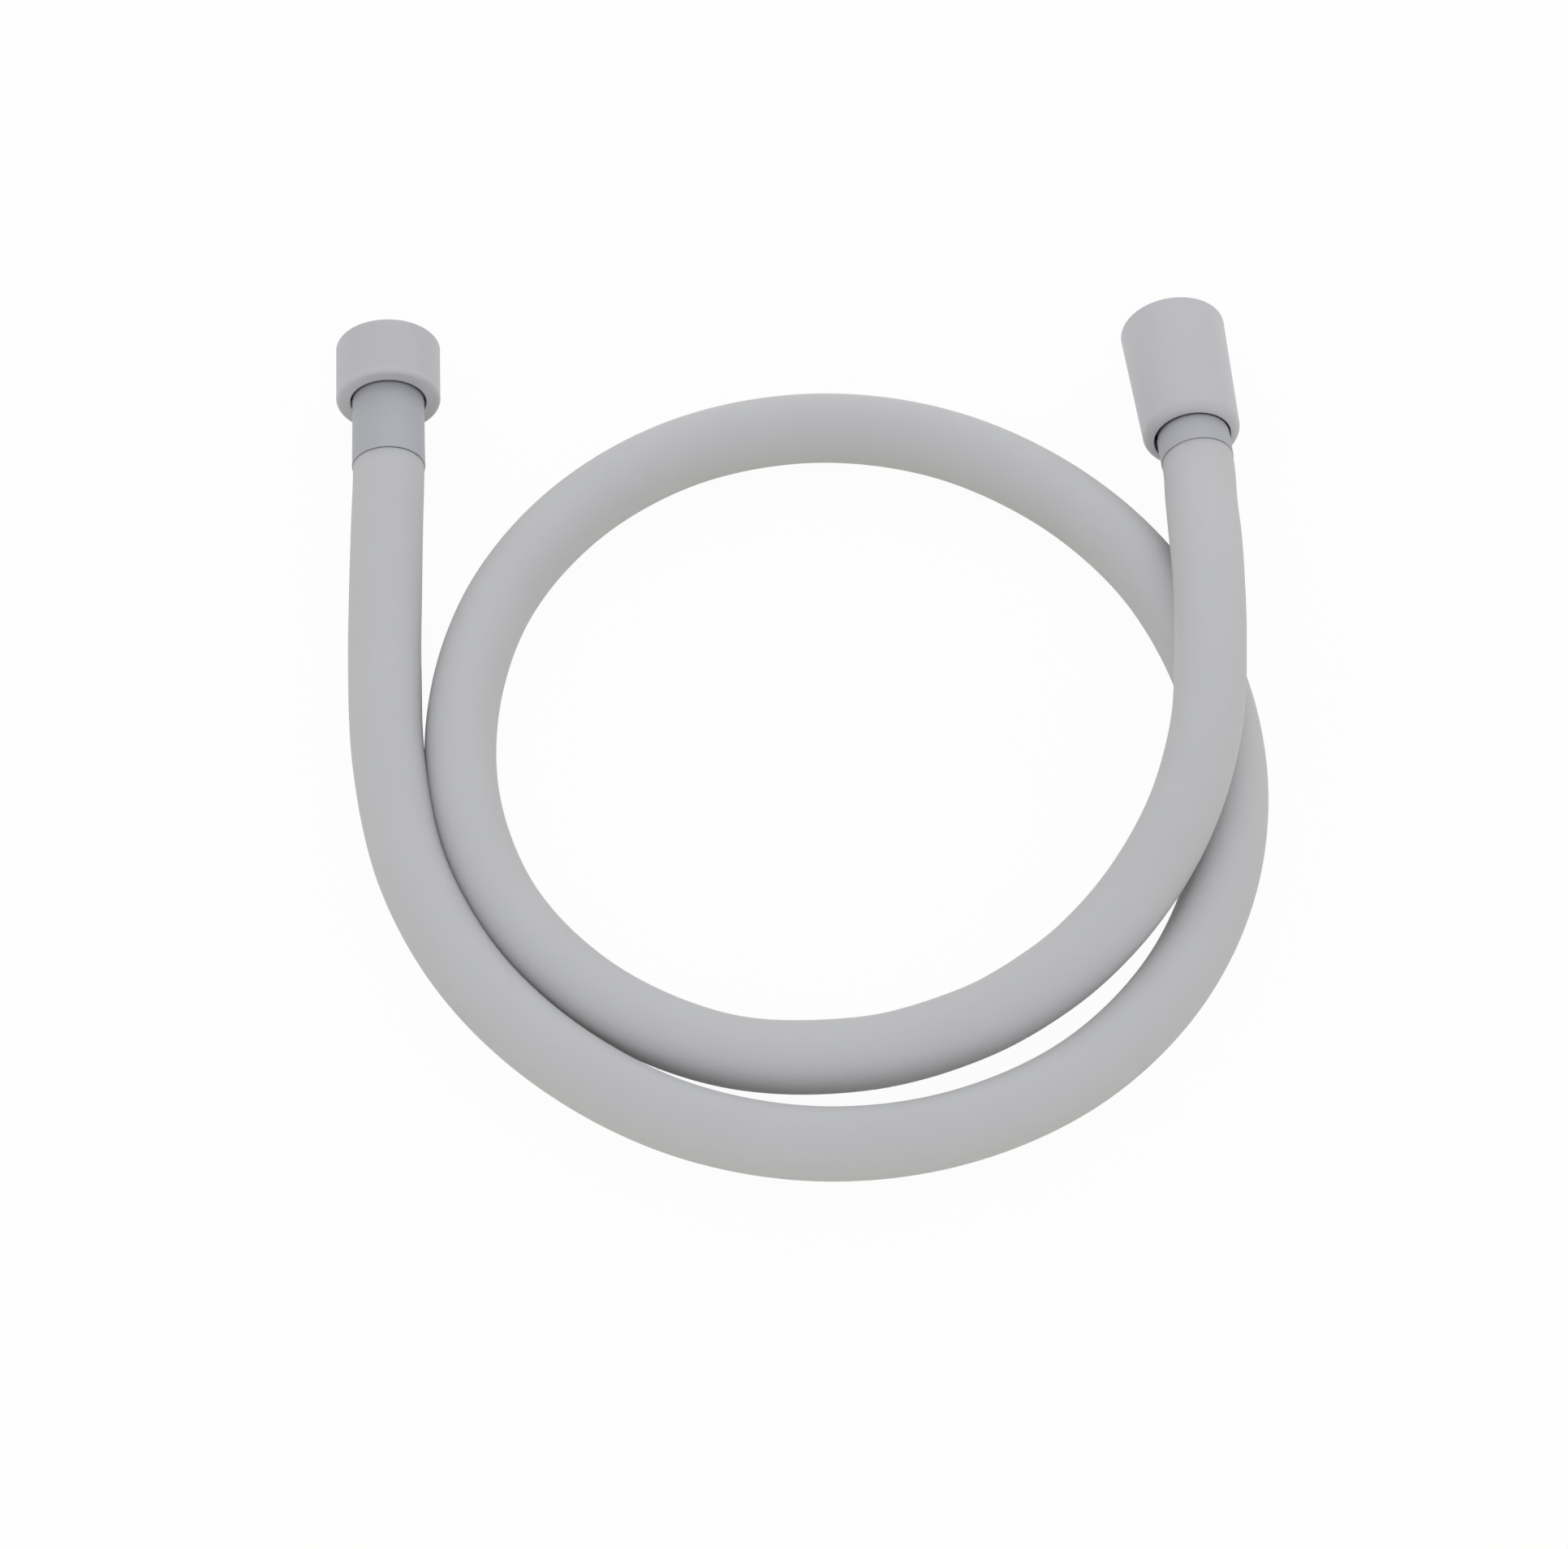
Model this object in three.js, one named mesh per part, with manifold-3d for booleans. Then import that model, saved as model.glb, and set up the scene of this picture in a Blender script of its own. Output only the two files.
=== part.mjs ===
// Smooth grey shower hose lying in one loop, with a knurled union nut for the wall outlet on its left
// end and a long conical nut with an anti-twist swivel for the handset on its right end.
// Millimetres, +Z up. The hose lies on z = 0, and the origin is under the middle of the whole part.
import * as THREE from 'three';
import { mergeVertices } from 'three/addons/utils/BufferGeometryUtils.js';
import Module from 'manifold-3d';

const wasm = await Module();
wasm.setup();

// Clearances
const seatGap = 0.3; // between faces that rest on each other along a fitting's axis
const layGap = 0.05; // under the hose where it lies flat
const crimpGap = 0.3; // round a crimped hose end, inside its ferrule and over its barbs
const runningGap = 0.3; // between the swivel's spindle and its sleeve
const ringGap = 0.1; // round an O-ring or snap ring in its groove
const outletNutGap = 0.3; // round the outlet ferrule, in the knurled nut's rear hole
const handsetNutGap = 0.35; // round the handset ferrule, in the conical nut's bore
const sleeveGap = 0.5; // round the swivel sleeve, in the same bore
const flangeGap = 0.17; // round a flange as it passes through a nut's thread
const washerGap = 0.32; // round a washer as it passes through the thread
const endWallGap = 0.4; // round a tail's neck, in its ferrule's end wall

// Hose
const hoseDiameter = 16.5;
const hoseBore = 9;
const crimpDepth = 0.7; // how far a ferrule squeezes it in
const hoseSides = 12;
const boreSides = 8;
const hoseSteps = 70;
const neckOverlap = 1.5; // how far a crimped end reaches back into the full tube

// Centreline of the hose between the mouths of its two ferrules, chosen by hand from the photo:
// x and y, and how far it is lifted off the surface in hose diameters
const hoseRoute = [
  [-93.3, 73.0, 0.202], [-93.1, 56.7, 0.176], [-92.8, 38.7, 0.149], [-92.2, 16.7, 0.112],
  [-90.2, -9.1, 0.076], [-83.6, -38.2, 0.042], [-69.4, -64.7, 0.012], [-48.5, -85.9, 0],
  [-22.8, -100.5, 0], [6.3, -106.2, 0], [35.6, -102.2, 0], [62.3, -88.7, 0],
  [82.8, -66.7, 0], [95.0, -39.5, 0], [98.5, -9.8, 0], [93.6, 19.4, 0],
  [80.7, 46.7, 0], [60.2, 68.6, 0], [34.0, 83.0, 0], [4.7, 87.2, 0],
  [-24.1, 80.6, 0], [-48.5, 63.9, 0], [-65.9, 39.4, 0], [-73.9, 10.4, 0],
  [-72.8, -19.8, 0], [-61.9, -47.8, 0], [-41.4, -69.8, 0], [-14.4, -82.8, 0.012],
  [14.4, -84.1, 0.048], [38.2, -77.8, 0.152], [55.8, -67.8, 0.291], [68.7, -56.2, 0.442],
  [79.2, -42.2, 0.618], [87.2, -26.2, 0.824], [92.2, -7.3, 1.012], [93.7, 12.8, 1.085],
  [94.2, 31.6, 0.976], [94.2, 46.8, 0.745], [94.0, 59.7, 0.515], [93.8, 72.9, 0.371],
];
const settlingPoints = 8; // of the route, over which each end comes up to its fitting's height

// Which way each end points: heading turns it from +Y towards -X, dip tilts its nose down, in degrees
const outletHeading = 2.2;
const outletDip = -1.5;
const handsetHeading = 6;
const handsetDip = 3;

// Half-inch pipe thread of both nuts, bored here at its crests
const threadCrest = 18.64;
const threadDepth = 1.16;
const threadLength = 9.4;
const mouthChamfer = 1.1;

// Knurled union nut, at the outlet end
const knurledWall = 1.67; // over the thread's root
const knurledLength = 15.2;
const knurledSetback = 18.9; // ferrule that shows behind the nut
const knurledBackWall = 2.5;
const knurledFrontFillet = 0.3;
const knurledBackFillet = 1;

// Conical nut, at the handset end
const coneWall = 1.72; // over the thread's root, at the front rim
const coneTaper = 0.85; // how much less its radius is at the back
const coneLength = 33;
const coneSetback = 7.3;
const coneNeckLength = 19.4; // narrow bore from the rear face to the shoulder
const coneFrontFillet = 0.4;
const coneBackFillet = 2.3;
const coneDrop = 0.12; // the loose nut hangs below its ferrule's axis
const coneSideways = 0.15; // and lies to one side of it

// Ferrules, thin sleeves crimped over the hose ends
const outletFerruleWall = 0.55;
const outletFerruleFlare = 0.1; // how much wider its radius is at the mouth
const outletFlareLength = 6;
const handsetFerruleWall = 0.6;
const handsetFerruleDraw = 0.15; // how much its radius draws in at the mouth
const handsetDrawLength = 5;
const handsetFerruleLength = 13.8;
const ferruleEndWall = 0.6;

// Barbed tails inside the hose ends
const tailBore = 6.8;
const tailWall = 1.2;
const barbHeight = 0.5;
const barbPitch = 3.2;
const barbReach = 2; // from a ferrule's mouth to the tail's inner end
const tailNeckWall = 2.4; // where a tail passes through its ferrule's end wall
const flangeThickness = 2;

// Flat washers
const washerHole = 11;
const washerThickness = 2;

// Anti-twist swivel of the handset end
const collarStep = 0.5; // how much less the collar's radius is than the sleeve's
const collarThickness = 1.6;
const thrustRingThickness = 1;
const spindleBore = 6;
const spindleWall = 2.15;
const spindleSetback = 1.5; // from the sleeve's front face to the spindle's end
const sleeveWall = 1; // round the pocket in the sleeve's front
const sleevePocketDepth = 3.8;
const oRingSection = 1.4;
const oRingPitch = 2.9;
const oRingSetback = 1.6; // from the sleeve's rear face to the first groove
const snapRingThickness = 0.8;
const snapRingStand = 1.35; // how far it stands out of the spindle
const snapGrooveDepth = 0.85;
const snapRingOpening = 40; // degrees left open

// Diameters that follow from those above
const crimpedDiameter = hoseDiameter - 2 * crimpDepth;
const ferruleBore = crimpedDiameter + 2 * crimpGap;
const outletFerruleDiameter = ferruleBore + 2 * outletFerruleWall;
const handsetFerruleDiameter = ferruleBore + 2 * handsetFerruleWall;
const threadRoot = threadCrest + 2 * threadDepth;
const knurledDiameter = threadRoot + 2 * knurledWall;
const knurledHole = outletFerruleDiameter + 2 * outletNutGap;
const coneFrontDiameter = threadRoot + 2 * coneWall;
const coneBackDiameter = coneFrontDiameter - 2 * coneTaper;
const coneHole = handsetFerruleDiameter + 2 * handsetNutGap;
const flangeDiameter = threadCrest - 2 * flangeGap;
const washerDiameter = threadCrest - 2 * washerGap;
const tailCoreDiameter = tailBore + 2 * tailWall;
const barbDiameter = tailCoreDiameter + 2 * barbHeight;
const tailNeckDiameter = tailBore + 2 * tailNeckWall;
const ferruleEndHole = tailNeckDiameter + 2 * endWallGap;
const sleeveDiameter = coneHole - 2 * sleeveGap;
const collarDiameter = sleeveDiameter - 2 * collarStep;
const sleevePocketDiameter = sleeveDiameter - 2 * sleeveWall;
const spindleDiameter = spindleBore + 2 * spindleWall;
const snapRingDiameter = spindleDiameter + 2 * snapRingStand;
const snapGrooveDiameter = spindleDiameter - 2 * snapGrooveDepth;

const nutSides = 48;
const innerSides = 32;

// Points of a circle, counterclockwise.
function circlePoints(radius, sides) {
  const points = [];
  for (let i = 0; i < sides; i += 1) {
    const angle = (2 * Math.PI * i) / sides;
    points.push(new THREE.Vector2(radius * Math.cos(angle), radius * Math.sin(angle)));
  }
  return points;
}

// Profile points of a quarter-round edge, from one angle to another in degrees.
function roundEdge(centreRadius, centreY, fillet, fromAngle, toAngle) {
  const steps = 5;
  const points = [];
  for (let i = 0; i <= steps; i += 1) {
    const angle = THREE.MathUtils.degToRad(fromAngle + ((toAngle - fromAngle) * i) / steps);
    points.push([centreRadius + fillet * Math.cos(angle), centreY + fillet * Math.sin(angle)]);
  }
  return points;
}

// A turned piece: a closed profile of [radius, y] points, swept round the local Y axis.
function turned(profile, sides) {
  const closed = [...profile, profile[0]].map(([radius, y]) => new THREE.Vector2(radius, y));
  return new THREE.LatheGeometry(closed, sides);
}

// A geometry as a manifold-3d solid, with its shared vertices merged.
function solidFrom(geometry, matrix) {
  const bare = geometry.clone();
  bare.deleteAttribute('normal');
  bare.deleteAttribute('uv');
  bare.applyMatrix4(matrix);
  const merged = mergeVertices(bare, 1e-4);
  return new wasm.Manifold(new wasm.Mesh({
    numProp: 3,
    vertProperties: merged.attributes.position.array,
    triVerts: new Uint32Array(merged.index.array),
  }));
}

// A solid's surface as a geometry.
function geometryFrom(solid) {
  const mesh = solid.getMesh();
  const geometry = new THREE.BufferGeometry();
  geometry.setAttribute('position', new THREE.BufferAttribute(mesh.vertProperties, 3));
  geometry.setIndex(new THREE.BufferAttribute(mesh.triVerts, 1));
  geometry.computeVertexNormals();
  return geometry;
}

const finish = (color, roughness, metalness) =>
  new THREE.MeshStandardMaterial({ color, roughness, metalness });
const materials = {
  hose: finish('#c0c0c1', 0.55, 0),
  nut: finish('#c2c2c6', 0.45, 0),
  ferrule: finish('#b4b7bf', 0.4, 0.2),
  brass: finish('#b59a5b', 0.35, 1),
  acetal: finish('#ece9e0', 0.4, 0),
  seal: finish('#242526', 0.7, 0),
  spring: finish('#a9acb0', 0.3, 1),
};

function piece(name, geometry, material) {
  const mesh = new THREE.Mesh(geometry, material);
  mesh.name = name;
  return mesh;
}

// A fitting's frame: its origin at the ferrule's mouth on the hose's axis, its +Y outwards.
function fittingFrame(mouth, heading, dip) {
  const frame = new THREE.Group();
  frame.position.copy(mouth);
  frame.rotation.set(
    THREE.MathUtils.degToRad(-dip),
    0,
    THREE.MathUtils.degToRad(heading),
    'ZXY',
  );
  frame.updateMatrix();
  return frame;
}

// Hose: the stretch of a smooth curve between its second and its second-last point
class StretchBetweenLeads extends THREE.Curve {
  constructor(points) {
    super();
    this.whole = new THREE.CatmullRomCurve3(points, false, 'catmullrom', 0.5);
    this.spans = points.length - 1;
  }

  getPoint(t, target) {
    return this.whole.getPoint((1 + t * (this.spans - 2)) / this.spans, target);
  }
}

// A lead point past the end makes the curve leave the ferrule straight along the ferrule's axis.
function leadPoint(end, neighbour, frame) {
  const outwards = new THREE.Vector3(0, 1, 0).applyQuaternion(frame.quaternion);
  return neighbour.clone().addScaledVector(outwards, 2 * end.distanceTo(neighbour));
}

function crimpedEnd(neckLength) {
  const inner = (barbDiameter + 2 * crimpGap) / 2;
  const outer = crimpedDiameter / 2;
  return turned([
    [inner, -neckOverlap], [outer, -neckOverlap], [outer, neckLength], [inner, neckLength],
  ], innerSides);
}

function hose(route, outletFrame, handsetFrame, outletNeck, handsetNeck) {
  const last = route.length - 1;
  const path = new StretchBetweenLeads([
    leadPoint(route[0], route[1], outletFrame),
    ...route,
    leadPoint(route[last], route[last - 1], handsetFrame),
  ]);
  const section = new THREE.Shape(circlePoints(hoseDiameter / 2, hoseSides));
  section.holes.push(new THREE.Path(circlePoints(hoseBore / 2, boreSides)));
  const tube = new THREE.ExtrudeGeometry(section, {
    steps: hoseSteps,
    bevelEnabled: false,
    extrudePath: path,
  });
  const solid = solidFrom(tube, new THREE.Matrix4())
    .add(solidFrom(crimpedEnd(outletNeck), outletFrame.matrix))
    .add(solidFrom(crimpedEnd(handsetNeck), handsetFrame.matrix));
  return piece('hose', geometryFrom(solid), materials.hose);
}

// A ferrule: a cup open at the hose's side, its end wall held behind the tail's flange or collar.
function ferrule(diameter, mouthFlare, flareLength, front) {
  const outer = diameter / 2;
  const inner = ferruleBore / 2;
  return turned([
    [inner, seatGap], [outer + mouthFlare, seatGap], [outer, seatGap + flareLength],
    [outer, front], [ferruleEndHole / 2, front], [ferruleEndHole / 2, front - ferruleEndWall],
    [inner, front - ferruleEndWall],
  ], innerSides);
}

// Saw-tooth profile of a tail's barbs, from its inner end up to a limit.
function barbs(from, limit) {
  const points = [[tailCoreDiameter / 2, from]];
  for (let y = from + barbPitch; y <= limit; y += barbPitch) {
    points.push([barbDiameter / 2, y], [tailCoreDiameter / 2, y + 0.01]);
  }
  return points;
}

function flatWasher(back) {
  const inner = washerHole / 2;
  const outer = washerDiameter / 2;
  const front = back + washerThickness;
  return turned([[inner, back], [outer, back], [outer, front], [inner, front]], innerSides);
}

// Threaded mouth of a nut, from its front face back to the shoulder that bears on a flange.
function threadedMouth(front, shoulder, hole) {
  const threadBack = front - mouthChamfer - threadLength;
  return [
    [threadRoot / 2, front], [threadCrest / 2, front - mouthChamfer],
    [threadCrest / 2, threadBack], [threadRoot / 2, threadBack], [threadRoot / 2, shoulder],
    [hole / 2, shoulder],
  ];
}

// Height of a ferrule's mouth when its nut rests on the surface, on the lowest of its rims.
function mouthHeight(dip, rims) {
  const angle = THREE.MathUtils.degToRad(dip);
  return Math.max(...rims.map(([y, radius]) => y * Math.sin(angle) + radius * Math.cos(angle)));
}

// Brings the first points of a route up or down, so that it starts at the given height.
function settleEnd(points, height) {
  const rise = height - points[0].z;
  points.slice(0, settlingPoints).forEach((point, i) => {
    point.z += rise * (1 - i / settlingPoints) ** 2;
  });
}

const route = hoseRoute.map(([x, y, lift]) =>
  new THREE.Vector3(x, y, hoseDiameter * (0.5 + lift) + layGap));
settleEnd(route, mouthHeight(outletDip, [
  [knurledSetback + knurledBackFillet, knurledDiameter / 2],
  [knurledSetback + knurledLength - knurledFrontFillet, knurledDiameter / 2],
]));
route.reverse();
settleEnd(route, mouthHeight(handsetDip, [
  [coneSetback + coneBackFillet, coneBackDiameter / 2 + coneDrop],
  [coneSetback + coneLength, coneFrontDiameter / 2 + coneDrop],
]));
route.reverse();
const outletEnd = fittingFrame(route[0], outletHeading, outletDip);
const handsetEnd = fittingFrame(route[route.length - 1], handsetHeading, handsetDip);

// Outlet end
const knurledShoulder = knurledSetback + knurledBackWall;
const outletFlangeBack = knurledShoulder + seatGap;
const outletFlangeFront = outletFlangeBack + flangeThickness;
const outletFerruleFront = outletFlangeBack - seatGap;
const outletNeckEnd = outletFerruleFront - ferruleEndWall - seatGap;

function outletTail() {
  const bore = tailBore / 2;
  const neck = tailNeckDiameter / 2;
  return turned([
    [bore, barbReach], ...barbs(barbReach, outletNeckEnd - barbPitch / 2),
    [tailCoreDiameter / 2, outletNeckEnd], [neck, outletNeckEnd], [neck, outletFlangeBack],
    [flangeDiameter / 2, outletFlangeBack], [flangeDiameter / 2, outletFlangeFront],
    [bore, outletFlangeFront],
  ], innerSides);
}

function knurledNut() {
  const outer = knurledDiameter / 2;
  const front = knurledSetback + knurledLength;
  return turned([
    [knurledHole / 2, knurledSetback],
    ...roundEdge(outer - knurledBackFillet, knurledSetback + knurledBackFillet, knurledBackFillet, -90, 0),
    ...roundEdge(outer - knurledFrontFillet, front - knurledFrontFillet, knurledFrontFillet, 0, 90),
    ...threadedMouth(front, knurledShoulder, knurledHole),
  ], nutSides);
}

// Handset end, with its swivel
const coneShoulder = coneSetback + coneNeckLength;
const sleeveFlangeBack = coneShoulder + seatGap;
const sleeveFront = sleeveFlangeBack + flangeThickness;
const collarBack = handsetFerruleLength + seatGap;
const collarFront = collarBack + collarThickness;
const thrustRingBack = collarFront + seatGap;
const sleeveBack = thrustRingBack + thrustRingThickness + seatGap;
const pocketFloor = sleeveFront - sleevePocketDepth;
const spindleFront = sleeveFront - spindleSetback;
const snapRingBack = pocketFloor + seatGap;
const handsetNeckEnd = handsetFerruleLength - ferruleEndWall - seatGap;
const grooveWidth = oRingSection + 2 * ringGap;
const grooveFloor = (spindleDiameter + 2 * runningGap) / 2 - ringGap - oRingSection - ringGap;
const grooveBacks = [sleeveBack + oRingSetback, sleeveBack + oRingSetback + oRingPitch];

function swivelTail() {
  const bore = spindleBore / 2;
  const spindle = spindleDiameter / 2;
  const neck = tailNeckDiameter / 2;
  const collar = collarDiameter / 2;
  const grooves = grooveBacks.flatMap((back) => [
    [spindle, back], [grooveFloor, back], [grooveFloor, back + grooveWidth],
    [spindle, back + grooveWidth],
  ]);
  const snapFront = snapRingBack + snapRingThickness + ringGap;
  return turned([
    [bore, barbReach], ...barbs(barbReach, handsetNeckEnd - barbPitch / 2),
    [tailCoreDiameter / 2, handsetNeckEnd], [neck, handsetNeckEnd], [neck, collarBack],
    [collar, collarBack], [collar, collarFront], [spindle, collarFront], ...grooves,
    [spindle, snapRingBack - ringGap], [snapGrooveDiameter / 2, snapRingBack - ringGap],
    [snapGrooveDiameter / 2, snapFront], [spindle, snapFront], [spindle, spindleFront],
    [bore, spindleFront],
  ], innerSides);
}

function thrustRing() {
  const inner = spindleDiameter / 2 + runningGap;
  const outer = collarDiameter / 2;
  const front = thrustRingBack + thrustRingThickness;
  return turned([
    [inner, thrustRingBack], [outer, thrustRingBack], [outer, front], [inner, front],
  ], innerSides);
}

function swivelSleeve() {
  const bore = spindleDiameter / 2 + runningGap;
  const pocket = sleevePocketDiameter / 2;
  const outer = sleeveDiameter / 2;
  return turned([
    [bore, sleeveBack], [outer, sleeveBack], [outer, sleeveFlangeBack],
    [flangeDiameter / 2, sleeveFlangeBack], [flangeDiameter / 2, sleeveFront],
    [pocket, sleeveFront], [pocket, pocketFloor], [bore, pocketFloor],
  ], innerSides);
}

function oRing(grooveBack) {
  const section = oRingSection / 2;
  const ring = new THREE.TorusGeometry(grooveFloor + ringGap + section, section, 8, innerSides);
  return ring.rotateX(Math.PI / 2).translate(0, grooveBack + grooveWidth / 2, 0);
}

function snapRing() {
  const inner = snapGrooveDiameter / 2 + ringGap;
  const outer = snapRingDiameter / 2;
  const start = THREE.MathUtils.degToRad(snapRingOpening / 2);
  const end = 2 * Math.PI - start;
  const outline = new THREE.Shape();
  outline.absarc(0, 0, outer, start, end, false);
  outline.absarc(0, 0, inner, end, start, true);
  return new THREE.ExtrudeGeometry(outline, {
    depth: snapRingThickness,
    bevelEnabled: false,
    curveSegments: 14,
  }).rotateX(-Math.PI / 2).translate(0, snapRingBack, 0);
}

function conicalNut() {
  const back = coneBackDiameter / 2;
  const outer = coneFrontDiameter / 2;
  const front = coneSetback + coneLength;
  return turned([
    [coneHole / 2, coneSetback],
    ...roundEdge(back - coneBackFillet, coneSetback + coneBackFillet, coneBackFillet, -90, 0),
    ...roundEdge(outer - coneFrontFillet, front - coneFrontFillet, coneFrontFillet, 0, 90),
    ...threadedMouth(front, coneShoulder, coneHole),
  ], nutSides);
}

outletEnd.add(
  piece('outlet_ferrule',
    ferrule(outletFerruleDiameter, outletFerruleFlare, outletFlareLength, outletFerruleFront),
    materials.ferrule),
  piece('outlet_tail', outletTail(), materials.brass),
  piece('outlet_washer', flatWasher(outletFlangeFront + seatGap), materials.seal),
  piece('knurled_nut', knurledNut(), materials.nut),
);

handsetEnd.add(
  piece('handset_ferrule',
    ferrule(handsetFerruleDiameter, -handsetFerruleDraw, handsetDrawLength, handsetFerruleLength),
    materials.ferrule),
  piece('swivel_tail', swivelTail(), materials.brass),
  piece('swivel_thrust_ring', thrustRing(), materials.acetal),
  piece('swivel_sleeve', swivelSleeve(), materials.brass),
  piece('swivel_snap_ring', snapRing(), materials.spring),
  piece('handset_washer', flatWasher(sleeveFront + seatGap), materials.seal),
);
grooveBacks.forEach((back, i) => {
  handsetEnd.add(piece(`swivel_o_ring_${i + 1}`, oRing(back), materials.seal));
});
const looseConicalNut = piece('conical_nut', conicalNut(), materials.nut);
looseConicalNut.position.set(-coneSideways, 0, -coneDrop);
handsetEnd.add(looseConicalNut);

const showerHose = new THREE.Group();
showerHose.add(
  hose(route, outletEnd, handsetEnd, outletNeckEnd - seatGap, handsetNeckEnd - seatGap),
  outletEnd,
  handsetEnd,
);

export default showerHose;
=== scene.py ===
# %% [markdown]
# # A shower hose lying in one loop
#
# The object is a smooth grey shower hose with a fitting crimped on each end. A short knurled union
# nut screws on to the wall outlet, and a long conical nut screws on to the handset. This notebook
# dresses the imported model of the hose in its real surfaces: first the camera and the hose itself,
# then the finishes, the two fittings, and last the floor and the light.

# %% The frame
import math

import bmesh
import bpy
from mathutils import Matrix, Vector
from mathutils.geometry import interpolate_bezier


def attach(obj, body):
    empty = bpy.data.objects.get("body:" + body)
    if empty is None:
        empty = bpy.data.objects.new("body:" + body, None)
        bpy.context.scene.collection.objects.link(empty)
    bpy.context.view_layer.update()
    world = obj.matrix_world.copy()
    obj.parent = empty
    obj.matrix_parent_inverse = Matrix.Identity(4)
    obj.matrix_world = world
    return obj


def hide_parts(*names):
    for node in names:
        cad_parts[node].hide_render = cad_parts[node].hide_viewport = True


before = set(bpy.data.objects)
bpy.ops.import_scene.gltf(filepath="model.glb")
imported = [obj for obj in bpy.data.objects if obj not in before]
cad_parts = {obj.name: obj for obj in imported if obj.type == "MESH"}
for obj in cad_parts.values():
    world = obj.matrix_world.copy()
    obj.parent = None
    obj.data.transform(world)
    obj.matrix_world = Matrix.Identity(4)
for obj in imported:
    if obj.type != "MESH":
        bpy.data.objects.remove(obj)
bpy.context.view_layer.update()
MM = 0.001

# %% [markdown]
# ## Camera
#
# The hose is seen from its open side and well above it, from far enough away that its near and far
# ends look almost the same size. A long lens gives that flat view: about 140 mm at 1.4 m.

# %% The camera
VIEW_ELEVATION = math.radians(56)
VIEW_DISTANCE = 1.375
VIEW_TARGET = Vector((-0.0018, -0.0046, 0))

camera = bpy.data.objects.new("camera", bpy.data.cameras.new("camera"))
bpy.context.collection.objects.link(camera)
bpy.context.scene.camera = camera
camera.data.sensor_width = 36
camera.data.lens = 139.75
camera.data.clip_start = 0.05
camera.data.clip_end = 20
away = Vector((0, -math.cos(VIEW_ELEVATION), math.sin(VIEW_ELEVATION)))
camera.location = VIEW_TARGET + VIEW_DISTANCE * away
camera.rotation_euler = (math.pi / 2 - VIEW_ELEVATION, 0, 0)
print(f"camera: {camera.data.lens:.0f} mm lens, {VIEW_DISTANCE:.2f} m away")

# %% [markdown]
# ## The hose
#
# A shower hose is a soft PVC tube, extruded in one length. It lies under its own weight: straight
# out of the knurled nut, once round to the right and over its own start in a long low hump, and out
# to the conical nut. A few chosen points say where it goes, and each fitting gets a frame of its
# own where its ferrule meets the hose.

# %% The hose's route
# Points in metres, from the mouth of the outlet's ferrule to the mouth of the handset's.
HOSE_ROUTE = [
    (-0.0933, 0.0730, 0.0116), (-0.0931, 0.0567, 0.0112), (-0.0928, 0.0387, 0.0108),
    (-0.0922, 0.0167, 0.0101), (-0.0902, -0.0091, 0.0096), (-0.0836, -0.0382, 0.0090),
    (-0.0694, -0.0647, 0.0085), (-0.0485, -0.0859, 0.0083), (-0.0228, -0.1005, 0.0083),
    (0.0063, -0.1062, 0.0083), (0.0356, -0.1022, 0.0083), (0.0623, -0.0887, 0.0083),
    (0.0828, -0.0667, 0.0083), (0.0950, -0.0395, 0.0083), (0.0985, -0.0098, 0.0083),
    (0.0936, 0.0194, 0.0083), (0.0807, 0.0467, 0.0083), (0.0602, 0.0686, 0.0083),
    (0.0340, 0.0830, 0.0083), (0.0047, 0.0872, 0.0083), (-0.0241, 0.0806, 0.0083),
    (-0.0485, 0.0639, 0.0083), (-0.0659, 0.0394, 0.0083), (-0.0739, 0.0104, 0.0083),
    (-0.0728, -0.0198, 0.0083), (-0.0619, -0.0478, 0.0083), (-0.0414, -0.0698, 0.0083),
    (-0.0144, -0.0828, 0.0085), (0.0144, -0.0841, 0.0091), (0.0382, -0.0778, 0.0108),
    (0.0558, -0.0678, 0.0131), (0.0687, -0.0562, 0.0156), (0.0792, -0.0422, 0.0185),
    (0.0872, -0.0262, 0.0219), (0.0922, -0.0073, 0.0250), (0.0937, 0.0128, 0.0262),
    (0.0942, 0.0316, 0.0244), (0.0942, 0.0468, 0.0206), (0.0940, 0.0597, 0.0168),
    (0.0938, 0.0729, 0.0144),
]


def fitting_frame(mouth, heading, dip):
    """A fitting's own frame: its origin at the ferrule's mouth, its +Y outwards, in metres."""
    turn = Matrix.Rotation(math.radians(heading), 4, "Z")
    tilt = Matrix.Rotation(math.radians(-dip), 4, "X")
    return Matrix.Translation(mouth) @ turn @ tilt


OUTLET_END = fitting_frame(HOSE_ROUTE[0], 2.2, -1.5)
HANDSET_END = fitting_frame(HOSE_ROUTE[-1], 6, 3)
print("route:", len(HOSE_ROUTE), "points")

# %% [markdown]
# A Bezier curve through these points gives the line. With each handle a sixth of the way between a
# point's two neighbours, the curve passes smoothly through them all. One more point beyond each end
# makes the hose leave its ferrule straight.


# %% The smooth centreline
def lead_point(end, neighbour, end_frame):
    """A point past the end that makes the hose leave the ferrule straight along its axis."""
    outwards = end_frame.col[1].xyz
    return neighbour + 2 * (end - neighbour).length * outwards


def smooth_line(points, spacing):
    """Points about spacing apart on the smooth curve between the second and second-last point."""
    line = [points[1]]
    for before, start, end, after in zip(points, points[1:], points[2:], points[3:]):
        first_handle = start + (end - before) / 6
        second_handle = end - (after - start) / 6
        steps = max(2, round((end - start).length / spacing))
        line += interpolate_bezier(start, first_handle, second_handle, end, steps + 1)[1:]
    return line


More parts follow.
